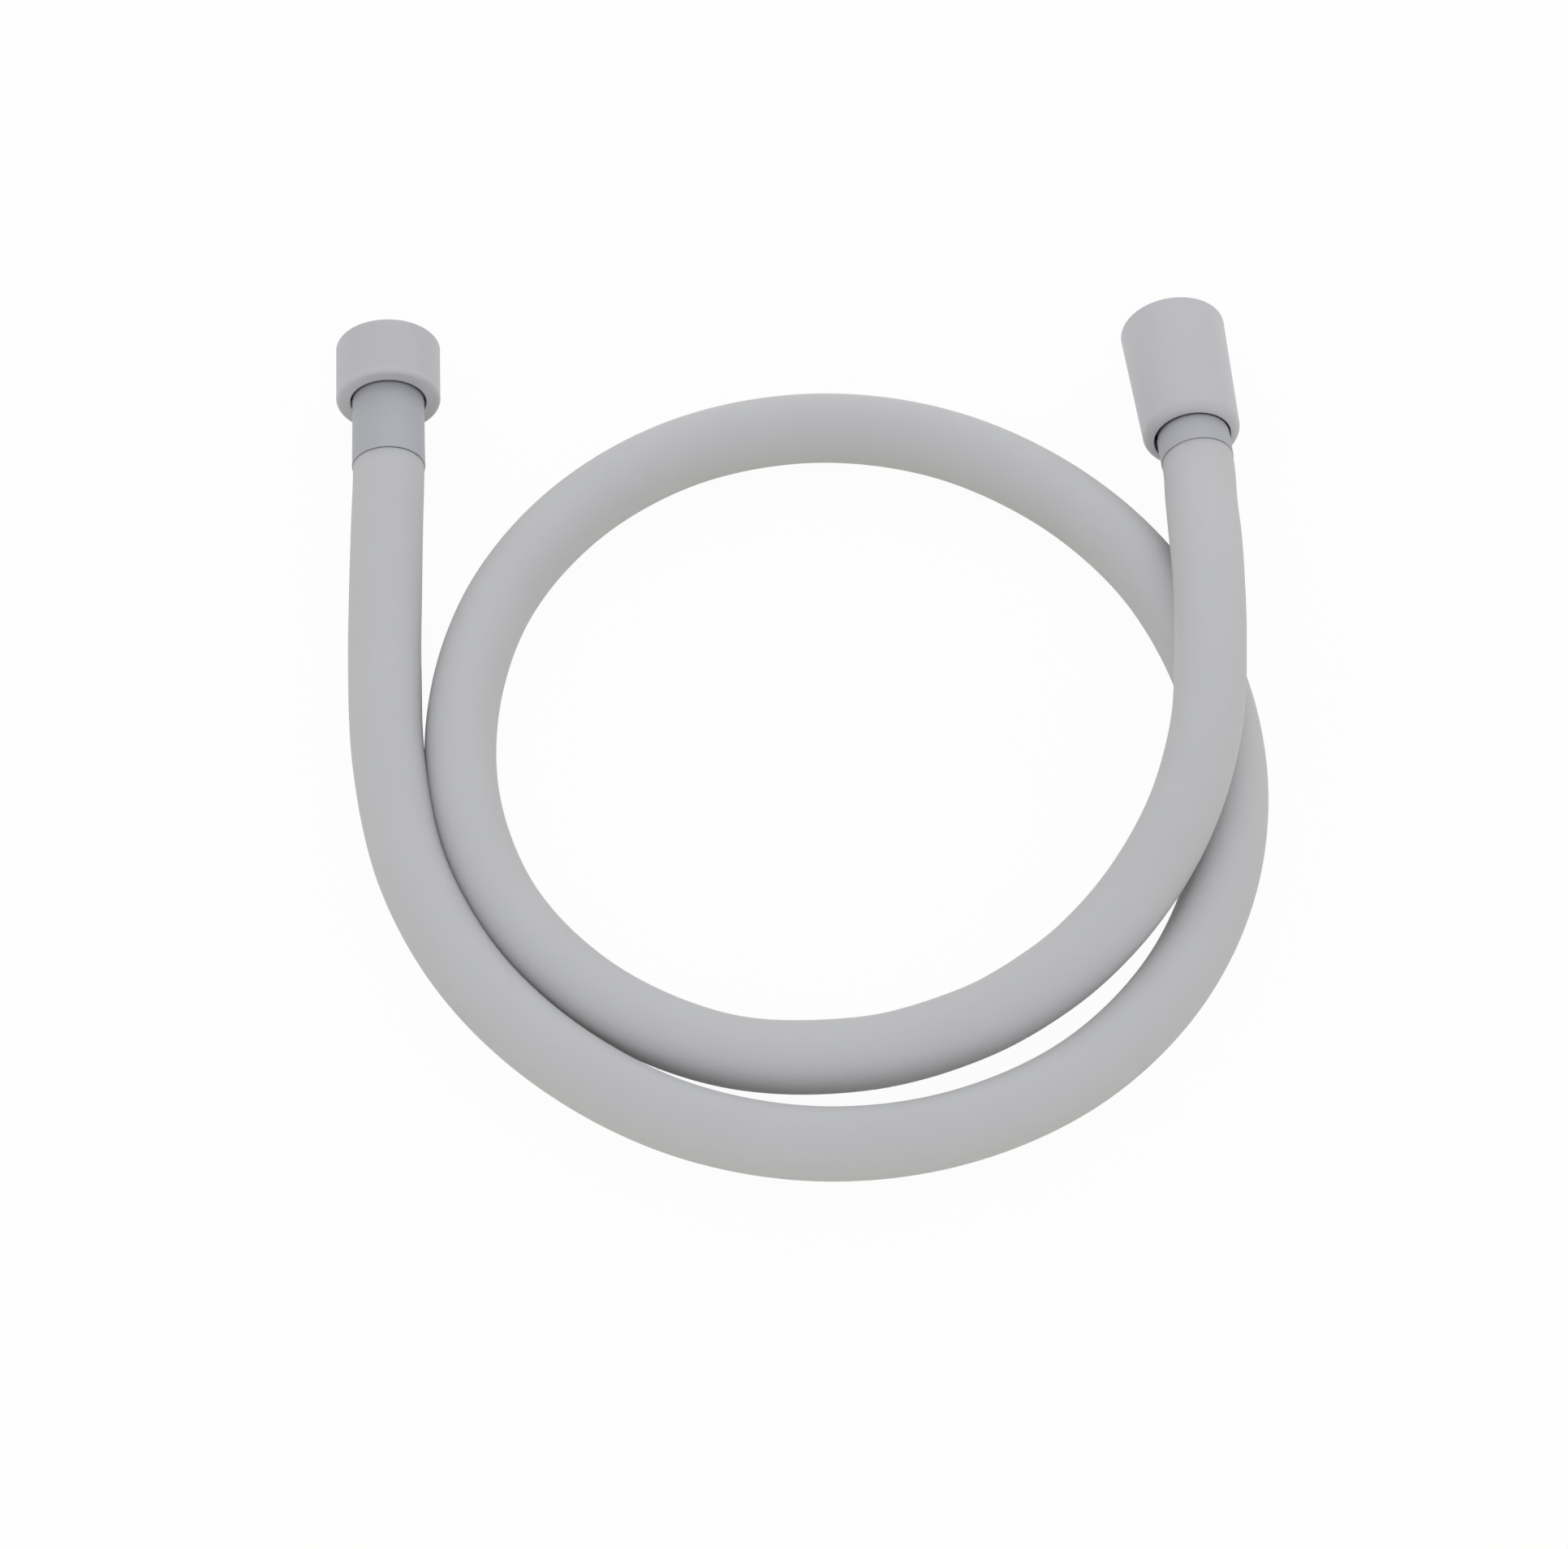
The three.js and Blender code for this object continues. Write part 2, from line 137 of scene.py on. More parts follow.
route = [Vector(point) for point in HOSE_ROUTE]
route = [
    lead_point(route[0], route[1], OUTLET_END), *route,
    lead_point(route[-1], route[-2], HANDSET_END),
]
centreline = smooth_line(route, 2.5 * MM)
visible_length = sum((b - a).length for a, b in zip(centreline, centreline[1:]))
print(f"visible hose: {visible_length:.3f} m in {len(centreline)} stations")

# %% [markdown]
# The hose's tube needs a frame at each station of the line: where its ring sits and which way it
# faces. Each frame turns no more than the line does, so the mesh doesn't twist. A few more stations
# at each end follow the crimped neck inside the ferrule.

# %% Frames along the hose
OUTLET_NECK = 20.0 * MM
HANDSET_NECK = 12.4 * MM
OUTLET_SHOULDER = 0.15 * MM
HANDSET_SHOULDER = 0.05 * MM
SHOULDER_STEP = 0.15 * MM


def carried_frames(line):
    """A frame at each point of a line, its +Z along the line, turned no more than it has to be."""
    frames = []
    side = None
    for i, point in enumerate(line):
        ahead = (line[min(i + 1, len(line) - 1)] - line[max(i - 1, 0)]).normalized()
        if side is None:
            side = ahead.orthogonal()
        side = (side - side.dot(ahead) * ahead).normalized()
        basis = Matrix((side, ahead.cross(side), ahead)).transposed().to_4x4()
        frames.append(Matrix.Translation(point) @ basis)
    return frames


def neck_line(end_frame, shoulder, length):
    """Stations inside a ferrule: the shoulder where the full tube ends, and the crimped neck."""
    return [end_frame @ Vector((0, y, 0))
            for y in (shoulder, shoulder + SHOULDER_STEP, shoulder + 2 * SHOULDER_STEP, length)]


outlet_neck = neck_line(OUTLET_END, OUTLET_SHOULDER, OUTLET_NECK)[::-1]
handset_neck = neck_line(HANDSET_END, HANDSET_SHOULDER, HANDSET_NECK)
hose_line = outlet_neck + centreline + handset_neck
hose_frames = carried_frames(hose_line)
run = [0.0]
for a, b in zip(hose_line, hose_line[1:]):
    run.append(run[-1] + (b - a).length)
print(f"whole hose: {run[-1]:.3f} m in {len(hose_line)} stations")

# %% [markdown]
# A soft tube isn't quite round. It spreads a little where it lies straight and narrows where it
# bends, so each frame is squeezed sideways by its own small amount. Its radii are those of the
# full tube, but at each end they step down to the crimped neck, and the bore widens to take the
# tail.

# %% Widths and radii
HOSE_RADIUS = 8.25 * MM
BORE_RADIUS = 4.5 * MM
NECK_RADIUS = 7.55 * MM
NECK_BORE_RADIUS = 5.3 * MM
BEND_REACH = 6
STRAIGHT_SPREAD = 0.015
BEND_SQUEEZE = 3.6 * MM
ROUND_END = 24 * MM
OVAL_FADE = 30 * MM


def narrowed(place, factor):
    """A station's frame, squeezed sideways so that the ring in it comes out oval."""
    sideways = place.col[2].xyz.cross(Vector((0, 0, 1))).normalized()
    centre = Matrix.Translation(place.translation)
    return centre @ Matrix.Scale(factor, 4, sideways) @ centre.inverted() @ place


def widths(line, run):
    """How wide the tube is at each station, against a round one. It stays round at its ends.

    The bend at a station is measured over BEND_REACH stations to each side.
    """
    factors = []
    for i, along in enumerate(run):
        before, after = max(i - BEND_REACH, 0), min(i + BEND_REACH, len(line) - 1)
        turn = 0
        if before < i < after:
            turn = (line[i] - line[before]).angle(line[after] - line[i], 0)
        bend = 2 * turn / (run[after] - run[before])
        from_end = min(along, run[-1] - along)
        share = min(1, max(0, (from_end - ROUND_END) / OVAL_FADE))
        factors.append(1 + share * (STRAIGHT_SPREAD - BEND_SQUEEZE * bend))
    return factors


factors = widths(hose_line, run)
hose_frames = [narrowed(place, factor) for place, factor in zip(hose_frames, factors)]
neck_radii = [NECK_RADIUS] * 2 + [HOSE_RADIUS - SHOULDER_STEP, HOSE_RADIUS]
outer_radii = neck_radii + [HOSE_RADIUS] * len(centreline) + neck_radii[::-1]
neck_bores = [NECK_BORE_RADIUS] * (len(neck_radii) + 1)
inner_radii = neck_bores + [BORE_RADIUS] * (len(centreline) - 2) + neck_bores
stations = [*zip(hose_frames, outer_radii, run), *reversed([*zip(hose_frames, inner_radii, run)])]
print(f"{len(stations)} rings, width {min(factors):.3f} to {max(factors):.3f} of a round tube's")

# %% [markdown]
# The tube is then made the way a hose is extruded: one ring is pushed from station to station, and
# every push leaves a band of faces behind it. The ring goes out along the skin, turns in, and comes
# back along the bore, so the wall has a real thickness. Each vertex also keeps its place on the
# hose laid straight, which the material reads later, so that its fine lines follow the loop.

# %% Pushing the ring
HOSE_SIDES = 48


def sweep_tube(name, rings, sides):
    """A closed tube: a ring pushed from one station to the next and joined to its start."""
    bm = bmesh.new()
    straight = bm.verts.layers.float_vector.new("straight")
    placed = [place @ Matrix.Scale(radius, 4) for place, radius, _ in rings]
    circle = bmesh.ops.create_circle(bm, segments=sides, radius=1, matrix=placed[0])["verts"]
    angles = [2 * math.pi * i / sides for i in range(sides)]
    edges = first_edges = bm.edges[:]

    def note_place(verts, radius, along):
        for angle, vert in zip(angles, verts):
            vert[straight] = (radius * math.cos(angle), radius * math.sin(angle), along)

    note_place(circle, rings[0][1], rings[0][2])
    for before, now, (_, radius, along) in zip(placed, placed[1:], rings[1:]):
        pushed = bmesh.ops.extrude_edge_only(bm, edges=edges)["geom"]
        verts = [item for item in pushed if isinstance(item, bmesh.types.BMVert)]
        edges = [item for item in pushed if isinstance(item, bmesh.types.BMEdge)]
        bmesh.ops.transform(bm, matrix=now @ before.inverted(), verts=verts)
        note_place(verts, radius, along)
    bmesh.ops.bridge_loops(bm, edges=first_edges + edges)
    bmesh.ops.recalc_face_normals(bm, faces=bm.faces[:])
    return finished(name, bm)


def finished(name, bm, sharp_angle=32):
    """The object of a finished bmesh, smooth but for its sharp edges."""
    mesh = bpy.data.meshes.new(name)
    bm.to_mesh(mesh)
    bm.free()
    mesh.shade_smooth()
    mesh.set_sharp_from_angle(angle=math.radians(sharp_angle))
    piece = bpy.data.objects.new(name, mesh)
    bpy.context.collection.objects.link(piece)
    return piece


hose = sweep_tube("pvc_hose", stations, HOSE_SIDES)
print("hose:", len(hose.data.polygons), "faces")

# %% [markdown]
# ## Finishes
#
# A colour is easiest to choose as the hex value that a picture shows, but light adds up in linear
# values, so one function turns the first into the second. Another adds a node with its settings
# and its links. Every pattern below takes its scale from a real size: a noise of scale n makes n
# blotches per metre, so lines 0.5 mm apart need a scale of about 2000.


# %% Colours and nodes
def linear(hex_colour):
    """An sRGB hex colour as linear red, green, blue and alpha."""
    channels = [int(hex_colour[i:i + 2], 16) / 255 for i in (1, 3, 5)]
    curve = [c / 12.92 if c <= 0.04045 else ((c + 0.055) / 1.055) ** 2.4 for c in channels]
    return (*curve, 1)


def add_node(tree, kind, inputs=(), **settings):
    """Adds a node: settings are its options, and inputs gives sockets a value or a link."""
    node = tree.nodes.new(kind)
    for name, value in settings.items():
        setattr(node, name, value)
    for socket, value in dict(inputs).items():
        if isinstance(value, bpy.types.NodeSocket):
            tree.links.new(value, node.inputs[socket])
        else:
            node.inputs[socket].default_value = value
    return node


def surface(name, pattern_from, build, **shader):
    """A material: build(tree, place) gives its colour, roughness and bump from a place."""
    material = bpy.data.materials.new(name)
    material.use_nodes = True
    tree = material.node_tree
    principled = tree.nodes["Principled BSDF"]
    for socket, value in shader.items():
        principled.inputs[socket.replace("_", " ")].default_value = value
    if pattern_from == "Object":
        place = add_node(tree, "ShaderNodeTexCoord").outputs["Object"]
    else:
        place = add_node(tree, "ShaderNodeAttribute", attribute_name=pattern_from).outputs["Vector"]
    for socket, value in build(tree, place).items():
        tree.links.new(value, principled.inputs[socket])
    print("finish:", name)
    return material


def tone_between(tree, amount, dark, light):
    """A colour that runs from dark to light with the amount, given as hex values."""
    mix = add_node(tree, "ShaderNodeMix", {0: amount, 6: linear(dark), 7: linear(light)},
                   data_type="RGBA")
    return mix.outputs[2]


def value_between(tree, amount, low, high):
    """A number that runs from low to high as the amount runs from 0 to 1."""
    spread = add_node(tree, "ShaderNodeMapRange", {"Value": amount, "To Min": low, "To Max": high})
    return spread.outputs[0]


# %% [markdown]
# The hose is plasticised PVC. The extruder's die leaves it smooth with a satin-matt skin, with very
# faint lines along its length, and handling leaves slow patches a shade lighter or darker. Noise
# read from the place on the straightened hose, and stretched along it, makes the lines run round
# the loop with the hose. Light goes some millimetres into the soft plastic and comes out again
# beside where it went in. Subsurface scattering does the same, and it softens the shading.


# %% Soft PVC
def pvc_skin(tree, straight):
    along = add_node(tree, "ShaderNodeMapping", {"Vector": straight, "Scale": (1, 1, 0.02)})
    die_lines = add_node(tree, "ShaderNodeTexNoise", {
        "Vector": along.outputs[0], "Scale": 1400.0, "Detail": 2.0})
    patches = add_node(tree, "ShaderNodeTexNoise", {
        "Vector": straight, "Scale": 45.0, "Detail": 3.0, "Roughness": 0.55})
    grain = add_node(tree, "ShaderNodeTexNoise", {
        "Vector": straight, "Scale": 2600.0, "Detail": 2.0})
    fine = add_node(tree, "ShaderNodeBump", {
        "Height": grain.outputs[0], "Strength": 0.10, "Distance": 0.00004})
    bump = add_node(tree, "ShaderNodeBump", {
        "Height": die_lines.outputs[0], "Strength": 0.12, "Distance": 0.00006,
        "Normal": fine.outputs[0]})
    return {
        "Base Color": tone_between(tree, patches.outputs[0], "#BEBEBE", "#C3C3C3"),
        "Roughness": value_between(tree, patches.outputs[0], 0.58, 0.68),
        "Normal": bump.outputs[0],
    }


soft_pvc = surface("soft_pvc_extruded", "straight", pvc_skin, IOR=1.53,
                   Subsurface_Weight=0.5, Subsurface_Radius=(1.0, 1.0, 0.95),
                   Subsurface_Scale=7 * MM)

# %% [markdown]
# Both nuts are turned brass under a satin grey lacquer. The spray dries with a very fine orange
# peel, which softens every reflection. The lacquer doesn't reach inside a nut, where the thread
# stays bare brass. The knurl's grooves get painted shade: their colour is mixed darker by depth.
# Two attributes on the vertices, groove and bare, tell the material where each of these is.


# %% Satin lacquer
def lacquer_skin(tree, place):
    peel = add_node(tree, "ShaderNodeTexNoise", {
        "Vector": place, "Scale": 1100.0, "Detail": 2.0})
    cloud = add_node(tree, "ShaderNodeTexNoise", {
        "Vector": place, "Scale": 90.0, "Detail": 3.0})
    bump = add_node(tree, "ShaderNodeBump", {
        "Height": peel.outputs[0], "Strength": 0.15, "Distance": 0.00005})
    groove = add_node(tree, "ShaderNodeAttribute", attribute_name="groove").outputs["Fac"]
    bare = add_node(tree, "ShaderNodeAttribute", attribute_name="bare").outputs["Fac"]
    coat = tone_between(tree, cloud.outputs[0], "#BBBABD", "#C0BFC2")
    # Painted shade: the grooves' colour is mixed towards a darker grey by their depth.
    painted_groove_shade = add_node(tree, "ShaderNodeMix", {
        0: value_between(tree, groove, 0.0, 0.16), 6: coat, 7: linear("#9C9BA1")},
        data_type="RGBA").outputs[2]
    colour = add_node(tree, "ShaderNodeMix", {0: bare, 6: painted_groove_shade, 7: linear("#8F7645")},
                      data_type="RGBA").outputs[2]
    return {
        "Base Color": colour,
        "Metallic": bare,
        "Roughness": value_between(tree, cloud.outputs[0], 0.35, 0.43),
        "Normal": bump.outputs[0],
    }


satin_lacquer = surface("satin_lacquer_sprayed", "own_place", lacquer_skin, IOR=1.5)

# %% [markdown]
# The ferrules are drawn stainless steel with a matt satin finish, a cooler grey with fine lines
# round them. Noise that changes fast along the piece's axis, and hardly at all across it, leaves
# only such lines. A metal this matt scatters much of its light as paint does, so its Metallic value
# is 0.7 and not 1.


# %% Satin stainless steel
def turned_lines(tree, own_place, spacing):
    """Fine lines round the piece's own Y axis, about spacing apart in metres."""
    squeeze = add_node(tree, "ShaderNodeMapping", {
        "Vector": own_place, "Scale": (0.04, 1, 0.04)})
    lines = add_node(tree, "ShaderNodeTexNoise", {
        "Vector": squeeze.outputs[0], "Scale": 1 / spacing, "Detail": 3.0})
    return lines.outputs[0]


def steel_skin(tree, own_place):
    lines = turned_lines(tree, own_place, 0.3 * MM)
    smudge = add_node(tree, "ShaderNodeTexNoise", {
        "Vector": own_place, "Scale": 120.0, "Detail": 3.0})
    bump = add_node(tree, "ShaderNodeBump", {
        "Height": lines, "Strength": 0.10, "Distance": 0.00004})
    return {
        "Base Color": tone_between(tree, lines, "#AEAFB4", "#B4B5B9"),
        "Roughness": value_between(tree, smudge.outputs[0], 0.54, 0.64),
        "Normal": bump.outputs[0],
    }


satin_steel = surface("stainless_steel_satin", "own_place", steel_skin, Metallic=0.7)

# %% [markdown]
# Inside the nuts are the parts that do the work. The tails and the swivel sleeve are bare brass,
# straight from the lathe, and their thin skin of oxide is warm and a little uneven. The washers
# and O-rings are black rubber with a moulded, slightly dusty surface. The thrust ring is white
# acetal, and the snap ring is spring steel.


# %% Brass, rubber, acetal and spring steel
def brass_skin(tree, own_place):
    lines = turned_lines(tree, own_place, 0.15 * MM)
    oxide = add_node(tree, "ShaderNodeTexNoise", {
        "Vector": own_place, "Scale": 260.0, "Detail": 4.0})
    bump = add_node(tree, "ShaderNodeBump", {
        "Height": lines, "Strength": 0.3, "Distance": 0.00004})
    return {
        "Base Color": tone_between(tree, oxide.outputs[0], "#A98B4E", "#C8AC6E"),
        "Roughness": value_between(tree, oxide.outputs[0], 0.24, 0.42),
        "Normal": bump.outputs[0],
    }


def rubber_skin(tree, place):
    dust = add_node(tree, "ShaderNodeTexNoise", {"Vector": place, "Scale": 600.0, "Detail": 5.0})
    bump = add_node(tree, "ShaderNodeBump", {
        "Height": dust.outputs[0], "Strength": 0.4, "Distance": 0.00006})
    return {
        "Base Color": tone_between(tree, dust.outputs[0], "#1E1F20", "#34363A"),
        "Roughness": value_between(tree, dust.outputs[0], 0.55, 0.8),
        "Normal": bump.outputs[0],
    }


def acetal_skin(tree, place):
    flow = add_node(tree, "ShaderNodeTexNoise", {"Vector": place, "Scale": 300.0, "Detail": 2.0})
    return {
        "Base Color": tone_between(tree, flow.outputs[0], "#E6E3DA", "#F0EEE6"),
        "Roughness": value_between(tree, flow.outputs[0], 0.34, 0.44),
    }


def spring_skin(tree, place):
    scale_marks = add_node(tree, "ShaderNodeTexNoise", {
        "Vector": place, "Scale": 900.0, "Detail": 4.0})
    return {
        "Base Color": tone_between(tree, scale_marks.outputs[0], "#9A9DA1", "#B4B6BA"),
        "Roughness": value_between(tree, scale_marks.outputs[0], 0.28, 0.4),
    }


turned_brass = surface("brass_turned", "own_place", brass_skin, Metallic=1.0)
black_rubber = surface("rubber_black_moulded", "Object", rubber_skin, IOR=1.52)
white_acetal = surface("acetal_white_moulded", "Object", acetal_skin, IOR=1.48)
spring_steel = surface("spring_steel_stamped", "Object", spring_skin, Metallic=1.0)

# %% [markdown]
# ## Turned pieces
#
# Ferrules, nuts, tails and washers all come off a lathe, or could. Each is a closed outline of
# radius and place along the axis, spun once round. Where a real edge is rounded, the outline has
# an arc. Before a piece is put in place, every vertex keeps its place in the piece's own frame,
# so that the fine lines of its finish go round its own axis. A nut's vertices within 10.8 mm of
# its axis, a little way in from both ends, are marked as bare brass.
#
# Fittings are drawn in millimetres. All their values below are plain millimetres, and the matrix
# that puts a piece in place also scales it to metres.


# %% Spinning an outline
BARE_WITHIN = 10.8


def arc(centre_radius, centre_y, fillet, start, end, steps=6):
    """Outline points of a rounded edge, from one angle to another in degrees."""
    angles = [math.radians(start + (end - start) * i / steps) for i in range(steps + 1)]
    return [(centre_radius + fillet * math.cos(a), centre_y + fillet * math.sin(a)) for a in angles]


def spin_piece(name, outline, end_frame, steps=96, shape=None, inside=None):
    """Spins a closed outline of (radius, y) round a fitting's axis, and puts it in place.

    Shape is a function that works on the spun mesh, and inside is the start and end of a bore
    that the lacquer doesn't reach.
    """
    bm = bmesh.new()
    chain = [bm.verts.new((radius, y, 0)) for radius, y in outline]
    links = [bm.edges.new(pair) for pair in zip(chain, chain[1:] + chain[:1])]
    bmesh.ops.spin(bm, geom=chain + links, cent=(0, 0, 0), axis=(0, 1, 0),
                   angle=2 * math.pi, steps=steps, use_merge=True)
    bmesh.ops.remove_doubles(bm, verts=bm.verts[:], dist=0.001)
    if shape:
        shape(bm)
    bmesh.ops.recalc_face_normals(bm, faces=bm.faces[:])
    own_place = bm.verts.layers.float_vector.new("own_place")
    bare = bm.verts.layers.float.new("bare")
    for vert in bm.verts:
        vert[own_place] = vert.co * MM
        if inside and inside[0] < vert.co.y < inside[1]:
            vert[bare] = float(math.hypot(vert.co.x, vert.co.z) < BARE_WITHIN)
    bmesh.ops.transform(bm, matrix=end_frame @ Matrix.Scale(MM, 4), verts=bm.verts[:])
    return finished(name, bm)


def dress(piece, material, body, slot_name, *nodes):
    """Gives a new piece its material and its body, and hides the CAD nodes it stands for. slot_name
    is not used.
    """
    piece.data.materials.append(material)
    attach(piece, body)
    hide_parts(*nodes)
    print(f"{piece.name}: {len(piece.data.polygons)} faces, on {body}")

# %% [markdown]
# ## Outlet end
#
# The union nut turns loosely round a short ferrule. Its barrel has a diamond knurl for wet fingers,
# pressed in by two wheels whose ridges cross at about thirty degrees to the axis. On the barrel's
# fine grid, the height of each vertex is the lower of two ridge patterns, which leaves a small
# pyramid in every diamond. Inside, a wave that climbs one pitch per turn makes the pipe thread:
# fourteen turns to the inch, cut outwards from the bore. Both fade out at the ends of their band.

# %% Knurl and thread
KNURL_DIAMONDS = 65
KNURL_LENGTH = 2.19
KNURL_DEPTH = 0.11
THREAD_PITCH = 25.4 / 14
THREAD_CREST = 9.32
THREAD_DEPTH = 1.16
THREAD_ROW = 0.15
FADE = 0.8


def ridge(phase):
    """Height from 0 in a groove to 1 on a ridge."""
    return abs(2 * (phase % 1) - 1)


def fade_in(y, start, end):
    """0 at the ends of a band and beyond, rising to 1 a little way inside."""
    return max(0.0, min(1.0, (y - start) / FADE, (end - y) / FADE))


def knurl(bm, outer, start, end):
    """Presses the diamond knurl into the barrel of radius outer, from start to end."""
    groove = bm.verts.layers.float.new("groove")
    for vert in bm.verts:
        radius = math.hypot(vert.co.x, vert.co.z)
        if radius < outer - 0.001 or not start < vert.co.y < end:
            continue
        around = KNURL_DIAMONDS * math.atan2(vert.co.x, vert.co.z) / (2 * math.pi)
        along = (vert.co.y - start) / KNURL_LENGTH
        height = min(ridge(around + along), ridge(around - along))
        # The lacquer reads this groove depth and mixes painted shade into the grooves.
        vert[groove] = (1 - height) * fade_in(vert.co.y, start, end)
        vert.co.xz *= (radius - KNURL_DEPTH * vert[groove]) / radius


def thread(bm, start, end):
    """Cuts a half-inch pipe thread outwards from its crests, from start to end."""
    for vert in bm.verts:
        radius = math.hypot(vert.co.x, vert.co.z)
        if abs(radius - THREAD_CREST) > 0.01 or not start < vert.co.y < end:
            continue
        turn = math.atan2(vert.co.x, vert.co.z) / (2 * math.pi)
        wave = 0.5 - 0.5 * math.cos(2 * math.pi * (vert.co.y / THREAD_PITCH - turn))
        cut = THREAD_DEPTH * wave * fade_in(vert.co.y, start, end)
        vert.co.xz *= (radius + cut) / radius


def rows(radius, start, end, spacing):
    """Outline points down a straight wall, about spacing apart, so that it can be shaped."""
    count = max(1, round(abs(end - start) / spacing))
    return [(radius, start + (end - start) * i / count) for i in range(count + 1)]


print(f"knurl: {KNURL_DIAMONDS} diamonds round; thread: {THREAD_PITCH:.3f} mm pitch")

# %% [markdown]
# The knurled nut's outline starts in the hole round the ferrule, goes out over its rounded back
# and along the barrel in four steps to a knurl diamond, and comes back down the threaded bore. The
# wide chamber behind the thread holds the tail's flange and the washer.

# %% Knurled nut
NUT_BACK, NUT_FRONT, NUT_RADIUS = 18.9, 34.1, 12.15
NUT_BACK_ROUND, NUT_FRONT_ROUND = 1.0, 0.3
NUT_HOLE, CHAMBER_RADIUS = 8.85, 10.48
NUT_THREAD = (23.6, 33.0)
KNURL_FROM = NUT_BACK + NUT_BACK_ROUND
KNURL_TO = NUT_FRONT - NUT_FRONT_ROUND

knurled_outline = [
    (NUT_HOLE, NUT_BACK + 2.4), (NUT_HOLE, NUT_BACK + 2.2), (NUT_HOLE, 19.05), (8.93, NUT_BACK),
    *arc(NUT_RADIUS - NUT_BACK_ROUND, KNURL_FROM, NUT_BACK_ROUND, -90, 0, 8),
    *rows(NUT_RADIUS, KNURL_FROM + 0.1, KNURL_TO - 0.1, KNURL_LENGTH / 4),
    *arc(NUT_RADIUS - NUT_FRONT_ROUND, KNURL_TO, NUT_FRONT_ROUND, 0, 90),
    (CHAMBER_RADIUS, NUT_FRONT), (10.27, NUT_FRONT - 0.2),
    *rows(THREAD_CREST, NUT_THREAD[1], NUT_THREAD[0], THREAD_ROW),
    (CHAMBER_RADIUS, NUT_THREAD[0]), (CHAMBER_RADIUS, 21.4), (NUT_HOLE, 21.4),
]


def shape_knurled_nut(bm):
    knurl(bm, NUT_RADIUS, KNURL_FROM, KNURL_TO)
    thread(bm, *NUT_THREAD)


knurled_nut = spin_piece("union_nut_knurled", knurled_outline, OUTLET_END,
                         steps=4 * KNURL_DIAMONDS, shape=shape_knurled_nut,
                         inside=(NUT_BACK + 2.3, NUT_FRONT - 0.1))
dress(knurled_nut, satin_lacquer, "outlet_nut", "nut", "knurled_nut")

# %% [markdown]
# The ferrule is crimped over the hose and flares a little at its mouth. Where the nut covers it,
# it is a little thinner, so the nut turns freely and the gap round it looks dark. The tail's
# saw-shaped barbs hold the hose from inside, and its flange presses the washer to the outlet.

# %% Outlet ferrule, tail and washer
outlet_ferrule = spin_piece("ferrule_outlet", [
    (7.85, 0.4), *arc(8.4, 0.48, 0.08, -90, 0), (8.48, 1.5), (8.42, 6.3), (8.38, NUT_BACK - 0.1),
    (8.12, NUT_BACK + 0.1), (8.12, 20.5), *arc(8.35, 21.2, 0.2, 0, 90),
    (6.2, 21.4), (6.2, 20.8), (7.85, 20.8),
], OUTLET_END)
dress(outlet_ferrule, satin_steel, "hose_assembly", "ferrule", "outlet_ferrule")


def barbs(count):
    """Outline points of a tail's barbs, 3.2 mm apart and 2 mm in from the ferrule's mouth."""
    points = [(4.6, 2)]
    for i in range(count):
        points += [(5.1, 5.2 + 3.2 * i), (4.6, 5.25 + 3.2 * i)]
    return points


outlet_tail = spin_piece("tail_outlet", [
    (3.4, 2), *barbs(5), (4.6, 20.5), (5.8, 20.5), (5.8, 21.7), (9.0, 21.7), (9.15, 21.85),
    (9.15, 23.5), (8.95, 23.7), (3.8, 23.7), (3.4, 23.3),
], OUTLET_END)
dress(outlet_tail, turned_brass, "hose_assembly", "brass", "outlet_tail")


def washer_outline(back):
    """A flat rubber washer 2 mm thick, its edges slightly rounded by the mould."""
    front = back + 2
    return [
        *arc(5.75, back + 0.25, 0.25, 180, 270, 3), *arc(8.75, back + 0.25, 0.25, -90, 0, 3),
        *arc(8.75, front - 0.25, 0.25, 0, 90, 3), *arc(5.75, front - 0.25, 0.25, 90, 180, 3),
    ]


outlet_washer = spin_piece("washer_outlet", washer_outline(24.0), OUTLET_END)
dress(outlet_washer, black_rubber, "hose_assembly", "seal", "outlet_washer")

# %% [markdown]
# ## Handset end
#
# The conical nut is long, so that it also covers the swivel that keeps the hose from twisting. Its
# front rim is crisp and its back is well rounded. It rests a little low and to one side on its
# ferrule, which leaves the wider dark gap on the left.

# %% Conical nut
CONE_BACK, CONE_FRONT = 7.3, 40.3
CONE_BACK_RADIUS, CONE_FRONT_RADIUS = 11.35, 12.2
CONE_BACK_ROUND, CONE_FRONT_ROUND = 2.3, 0.4
CONE_HOLE = 8.95
CONE_THREAD = (29.8, 39.2)
CONE_LIES = Matrix.Translation((-0.15 * MM, 0, -0.12 * MM))

cone_outline = [
    (CONE_HOLE, CONE_BACK + 4.2), (CONE_HOLE, CONE_BACK + 3.8), (CONE_HOLE, 7.45),
    (9.05, CONE_BACK),
    *arc(CONE_BACK_RADIUS - CONE_BACK_ROUND, CONE_BACK + CONE_BACK_ROUND, CONE_BACK_ROUND,
         -90, 0, 10),
    *arc(CONE_FRONT_RADIUS - CONE_FRONT_ROUND, CONE_FRONT - CONE_FRONT_ROUND, CONE_FRONT_ROUND,
         0, 90, 4),
    (CHAMBER_RADIUS, CONE_FRONT), (10.27, CONE_FRONT - 0.2),
    *rows(THREAD_CREST, CONE_THREAD[1], CONE_THREAD[0], THREAD_ROW),
    (CHAMBER_RADIUS, CONE_THREAD[0]), (CHAMBER_RADIUS, 26.7), (CONE_HOLE, 26.7),
]
conical_nut = spin_piece("swivel_nut_conical", cone_outline, HANDSET_END @ CONE_LIES, steps=144,
                         shape=lambda bm: thread(bm, *CONE_THREAD),
                         inside=(CONE_BACK + 4.0, CONE_FRONT - 0.1))
